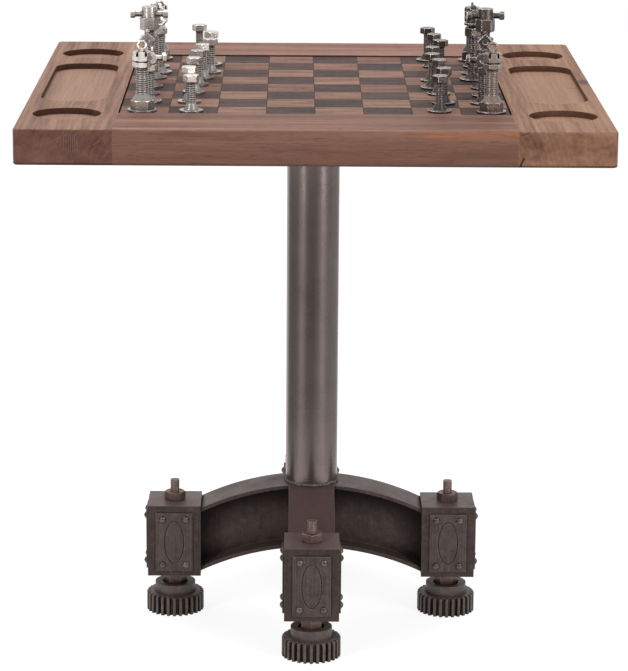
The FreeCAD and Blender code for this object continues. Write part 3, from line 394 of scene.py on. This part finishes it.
# Steel: a base tone with cloudy patina and fine grain; then streaks, dust with painted light on level faces,
# bright worn edges with painted highlights, the chess pieces' tones and painted shade, rust and painted
# shade in hollows, in this order.
def metal(name, tone, other, metallic=0.5, roughness=0.45, cloud=18.0, mottling=1.0, relief=0.0002,
          specular=0.5, streaks=0.0, dust_and_light=None, radius=0.0008, edge_wear_and_highlight=None, edge_share=0.5,
          edge_range=(0.02, 0.25), chess=None, rust=None, hollow=None):
    g = Graph(name)
    patina = g.noise(g.place, scale=cloud, detail=6, roughness=0.6)
    fine = g.noise(g.place, scale=650, detail=3, roughness=0.6)
    speck = g.noise(g.place, scale=260, detail=4, roughness=0.75)
    mottle = g.noise(g.place, scale=95, detail=4, roughness=0.7)
    g.colour = g.mix(g.fit(patina, 0.35, 0.68), tone, other)
    for pattern, low, high, share, shade in ((mottle, 0.50, 0.30, 0.5, shaded(tone, 0.45)),
                                             (mottle, 0.52, 0.72, 0.5, shaded(other, 1.7)),
                                             (fine, 0.35, 0.75, 0.35, shaded(tone, 0.6)),
                                             (speck, 0.56, 0.76, 0.35, shaded(other, 1.6))):
        g.paint(shade, g.fit(pattern, low, high), share * mottling)
    g.rough = g.fit(patina, 0.3, 0.7, roughness - 0.06 * mottling, roughness + 0.12 * mottling)
    sheltered = 1.0
    bare = metallic
    if streaks:
        drawn = g.noise(g.scaled(420, 420, 7), detail=3, roughness=0.6)
        g.paint(shaded(other, 1.5), g.fit(drawn, 0.4, 0.7), streaks)
    # Dust, and painted light, on level faces above a height; there the steel is less metallic.
    if dust_and_light:
        level = g.split(g.normal)[2]
        sheltered = g.fit(level, 0.8, 0.4, 0.25, 1.0)
        bare = g.fit(level, 0.6, 0.95, metallic, metallic * 0.2)
        height = g.fit(g.split(g.place)[2], DUST_AND_LIGHT_FROM, DUST_AND_LIGHT_FROM + 0.015)
        dust_and_light_share = g.times(g.fit(level, 0.6, 0.95), height)
        g.paint(dust_and_light, dust_and_light_share, g.fit(patina, 0.25, 0.6, 0.5, 0.75))
        g.paint(shaded(dust_and_light, 1.9), g.fit(speck, 0.55, 0.8), dust_and_light_share, 0.5)
    wear_and_highlight, soft = g.wear_and_highlight_edges(radius, *edge_range)
    # Edges lighter from wear, and with a painted highlight.
    if edge_wear_and_highlight:
        g.paint(edge_wear_and_highlight, wear_and_highlight, g.fit(speck, 0.30, 0.55, 1 - edge_share, 1.0), edge_share)
    if chess:
        chess_tones_and_shade(g, tone, mottle, **chess)
    if rust:
        rust_tone, amount = rust
        spots = g.noise(g.place, scale=70, detail=8, roughness=0.7)
        share = g.fit(spots, 0.62 - 0.25 * amount, 0.78 - 0.25 * amount)
        g.paint(g.mix(fine, rust_tone, shaded(rust_tone, 0.5)), share)
        g.rough = g.plus(g.rough, g.times(share, 0.25), clamp=True)
        bare = g.times(g.minus(1.0, g.times(share, 0.8)), bare)
    # Painted shade in hollows and, with lift, under overhangs such as the top flange.
    if hollow:
        depth, reach, low, high, lift = hollow
        deep = g.times(g.hollows(reach, low, high, lift), sheltered)
        g.paint(shaded(tone, 0.12), deep, depth)
        g.rough = g.plus(g.rough, g.times(deep, 0.2), clamp=True)
    g.height = g.plus(fine, g.times(patina, 0.5))
    return g.finish(relief, specular, bare, soft)


# How dark the painted shade in a hollow gets, how far it looks for a way out, the shares of light between
# which it is dark and open, and how much only light from above counts.
def darkness(depth, reach, low=0.35, high=0.8, lift=0.0):
    return depth, reach, low, high, lift


RUST = linear(102, 69, 54)
EDGE_WEAR_AND_HIGHLIGHT = linear(150, 135, 128)
base_steel = metal("base_steel", linear(79, 66, 63), linear(90, 76, 73), metallic=0.35, roughness=0.38,
                   cloud=24, specular=0.15, streaks=0.2, dust_and_light=linear(94, 75, 73), radius=0.0012, edge_wear_and_highlight=EDGE_WEAR_AND_HIGHLIGHT,
                   edge_share=0.75, rust=(RUST, 0.12), hollow=darkness(0.85, 0.05, lift=0.8))
box_steel = metal("box_steel", linear(68, 57, 54), linear(80, 68, 64), metallic=0.35, roughness=0.38,
                  cloud=24, specular=0.25, streaks=0.25, dust_and_light=linear(112, 90, 87), radius=0.0014, edge_wear_and_highlight=EDGE_WEAR_AND_HIGHLIGHT,
                  edge_share=0.7, rust=(RUST, 0.12), hollow=darkness(0.85, 0.008))
column_steel = metal("column_steel", linear(124, 111, 109), linear(134, 121, 118), metallic=0.9,
                     roughness=0.27, cloud=9, mottling=0.15, relief=0.00005, streaks=0.15)
plate_steel = metal("face_plate_steel", linear(71, 60, 57), linear(88, 75, 71), metallic=0.35, cloud=40,
                    mottling=1.4, streaks=0.45, radius=0.0018, edge_wear_and_highlight=EDGE_WEAR_AND_HIGHLIGHT, edge_share=0.95,
                    rust=(RUST, 0.1), hollow=darkness(0.9, 0.005))
rivet_steel = metal("rivet_steel", linear(102, 91, 86), linear(122, 111, 105), metallic=0.85,
                    roughness=0.22, hollow=darkness(0.7, 0.003))
rusty_steel = metal("rusty_steel", linear(96, 77, 70), linear(126, 103, 94), metallic=0.6, roughness=0.35,
                    radius=0.0012, edge_wear_and_highlight=linear(226, 204, 182), edge_share=0.85,
                    rust=(linear(104, 68, 52), 0.3), hollow=darkness(0.8, 0.005))
gear_steel = metal("gear_steel", linear(90, 78, 74), linear(110, 98, 92), metallic=0.4, radius=0.001,
                   edge_wear_and_highlight=linear(176, 162, 152), edge_share=0.85, rust=(RUST, 0.2),
                   hollow=darkness(0.92, 0.008))
weld_steel = metal("weld_steel", linear(86, 74, 70), linear(120, 106, 99), mottling=1.8, relief=0.0006,
                   radius=0.0012, edge_wear_and_highlight=linear(225, 210, 198), edge_share=0.8, rust=(RUST, 0.25))
screw_steel = metal("screw_steel", linear(130, 126, 120), linear(150, 146, 140), metallic=0.9,
                    roughness=0.35)
silver = metal("silver_piece_steel", linear(241, 232, 225), linear(201, 190, 182), metallic=0.95,
               roughness=0.16, cloud=120, mottling=1.3, relief=0.0003, edge_wear_and_highlight=linear(254, 252, 248),
               edge_share=0.8, chess=dict(threads=0.8, feet=0.5, variety=0.75),
               hollow=darkness(0.98, 0.006, 0.55, 0.96))
gunmetal = metal("dark_piece_steel", linear(97, 86, 82), linear(70, 61, 58), metallic=0.85, roughness=0.2,
                 cloud=120, mottling=1.4, relief=0.0003, radius=0.0014, edge_wear_and_highlight=linear(250, 243, 238),
                 edge_share=0.97, edge_range=(0.01, 0.16),
                 chess=dict(threads=0.5, rook=linear(162, 144, 136)),
                 hollow=darkness(0.98, 0.005, 0.45, 0.92))

FINISHES = {
    "left_end_board": left_wood, "right_end_board": right_wood,
    "front_rail": front_rail_wood, "back_rail": back_rail_wood,
    "frame_tenons": plain_wood, "backing_panel": plain_wood,
    "light_squares": light_tile, "dark_squares": dark_tile,
    "mounting_plate": base_steel, "mounting_screws": screw_steel,
    "column_tube": column_steel, "column_welds": weld_steel,
    "side_arch": base_steel, "front_leg": base_steel, "back_leg": base_steel,
    "leg_boxes": box_steel, "face_plates": plate_steel, "plate_rivets": rivet_steel,
    "lock_nuts": rusty_steel,
}
FAMILIES = {"gear": gear_steel, "levelling": rusty_steel, "silver": silver, "dark": gunmetal}
for name, part in nodes.items():
    finish = FINISHES.get(name) or FAMILIES[name.split("_")[0]]
    for slot in part.material_slots:
        slot.material = finish

# The weld beads are lumpy: their even rings are pushed in and out a little.
beads = nodes["column_welds"]
lumps = bpy.data.textures.new("weld_lumps", "CLOUDS")
lumps.noise_scale = 0.0045
weld = beads.modifiers.new("joined", "WELD")
weld.merge_threshold = 0.00001
finer = beads.modifiers.new("finer", "SUBSURF")
finer.subdivision_type = "SIMPLE"
finer.levels = finer.render_levels = 2
push = beads.modifiers.new("lumps", "DISPLACE")
push.texture = lumps
push.strength = 0.004
push.mid_level = 0.72


# Floor, lamps, surroundings and camera.

# Rays that show the background, straight or in metal and glass: they see it white.
def seen(g):
    paths = g.node("LightPath").outputs
    mirrored = g.most(paths["Is Glossy Ray"], paths["Is Transmission Ray"])
    return g.most(paths["Is Camera Ray"], mirrored)


def sheet(name, corners, material):
    mesh = bpy.data.meshes.new(name)
    mesh.from_pydata(corners, [], [(0, 1, 2, 3)])
    mesh.materials.append(material)
    made = bpy.data.objects.new(name, mesh)
    link_object(made)
    return made


def matt(name, grey, glow):
    g = Graph(name)
    g.set("Base Color", (grey, grey, grey))
    g.set("Roughness", 1.0)
    g.set("Specular IOR Level", 0.0)
    g.set("Emission Color", glow)
    return g


g = matt("floor_white", 0.32, WHITE)
g.set("Emission Strength", g.times(seen(g), 0.84))
floor = sheet("floor", [(-40, -40, 0), (40, -40, 0), (40, 40, 0), (-40, 40, 0)], g.material)


# An area lamp, in metres and watts.
def lamp(name, place, aim, width, height, power):
    data = bpy.data.lights.new(name, "AREA")
    data.shape = "RECTANGLE"
    data.size, data.size_y, data.energy = width, height, power
    made = bpy.data.objects.new(name, data)
    made.location = place
    made.rotation_euler = (Vector(aim) - Vector(place)).to_track_quat("-Z", "Y").to_euler()
    made.visible_camera = False
    link_object(made)


lamp("left_box", (-1.83, -2.03, 1.3), (0, 0, 0.45), 0.5, 2.0, 25)
lamp("right_box", (1.84, -1.84, 1.3), (0, 0, 0.45), 0.8, 2.0, 27)
lamp("top_box", (-0.3, 0.7, 2.9), (0, 0, 0.7), 2.4, 2.4, 46)


# Upright cards on a circle round the table, from one bearing to another, counted from the camera. Only
# reflections see them: they give the round and polished metal its dark bands.
def card(name, tone, start, end, distance=0.85, height=0.55):
    (x1, y1), (x2, y2) = ((distance * math.sin(math.radians(turn)), -distance * math.cos(math.radians(turn)))
                          for turn in (start, end))
    g = matt(name, 0.0, (tone, tone, tone))
    g.set("Emission Strength", 1.0)
    made = sheet(name, [(x1, y1, 0.0), (x2, y2, 0.0), (x2, y2, height), (x1, y1, height)], g.material)
    made.visible_camera = made.visible_diffuse = made.visible_shadow = False
    made.visible_transmission = made.visible_volume_scatter = False


for name, tone, start, end in (
        ("centre_card", 0.20, -34, 16), ("inner_card", 0.36, 16, 32), ("middle_card", 0.78, 32, 56),
        ("outer_card", 0.48, 56, 90), ("right_card", 0.58, 90, 150), ("gap_card", 0.62, -62, -34),
        ("left_card", 0.32, -130, -62)):
    card(name, tone, start, end)

world = bpy.data.worlds.new("studio")
bpy.context.scene.world = world
world.use_nodes = True
sky = Tree(world.node_tree)
light = world.node_tree.nodes["Background"]
sky.put(light.inputs["Color"], WHITE)
sky.put(light.inputs["Strength"], 0.5)
white = sky.node("Background", {"Color": WHITE, "Strength": 1.0})
blend = sky.node("MixShader", {0: seen(sky), 1: light.outputs[0], 2: white.outputs[0]})
sky.put(world.node_tree.nodes["World Output"].inputs["Surface"], blend.outputs[0])

# The photograph's camera, solved from points on the table; its turns are in radians.
CAMERA_PLACE, LENS_MM = (-0.0283, -4.090, 1.4134), 160.7
yaw, pitch, roll = 0.0075, -0.24209, 0.00708
ahead = Vector((math.sin(yaw), math.cos(yaw), 0))
across = Vector((math.cos(yaw), -math.sin(yaw), 0))
look = ahead * math.cos(pitch) + Vector((0, 0, math.sin(pitch)))
level_up = Vector((0, 0, math.cos(pitch))) - ahead * math.sin(pitch)
right = across * math.cos(roll) + level_up * math.sin(roll)
up = level_up * math.cos(roll) - across * math.sin(roll)
camera_data = bpy.data.cameras.new("camera")
camera_data.lens = LENS_MM
camera_data.clip_end = 200
camera = bpy.data.objects.new("camera", camera_data)
turned = Matrix((right, up, -look)).transposed().to_4x4()
camera.matrix_world = Matrix.Translation(CAMERA_PLACE) @ turned
link_object(camera)
bpy.context.scene.camera = camera
bpy.context.scene.view_settings.view_transform = "Standard"
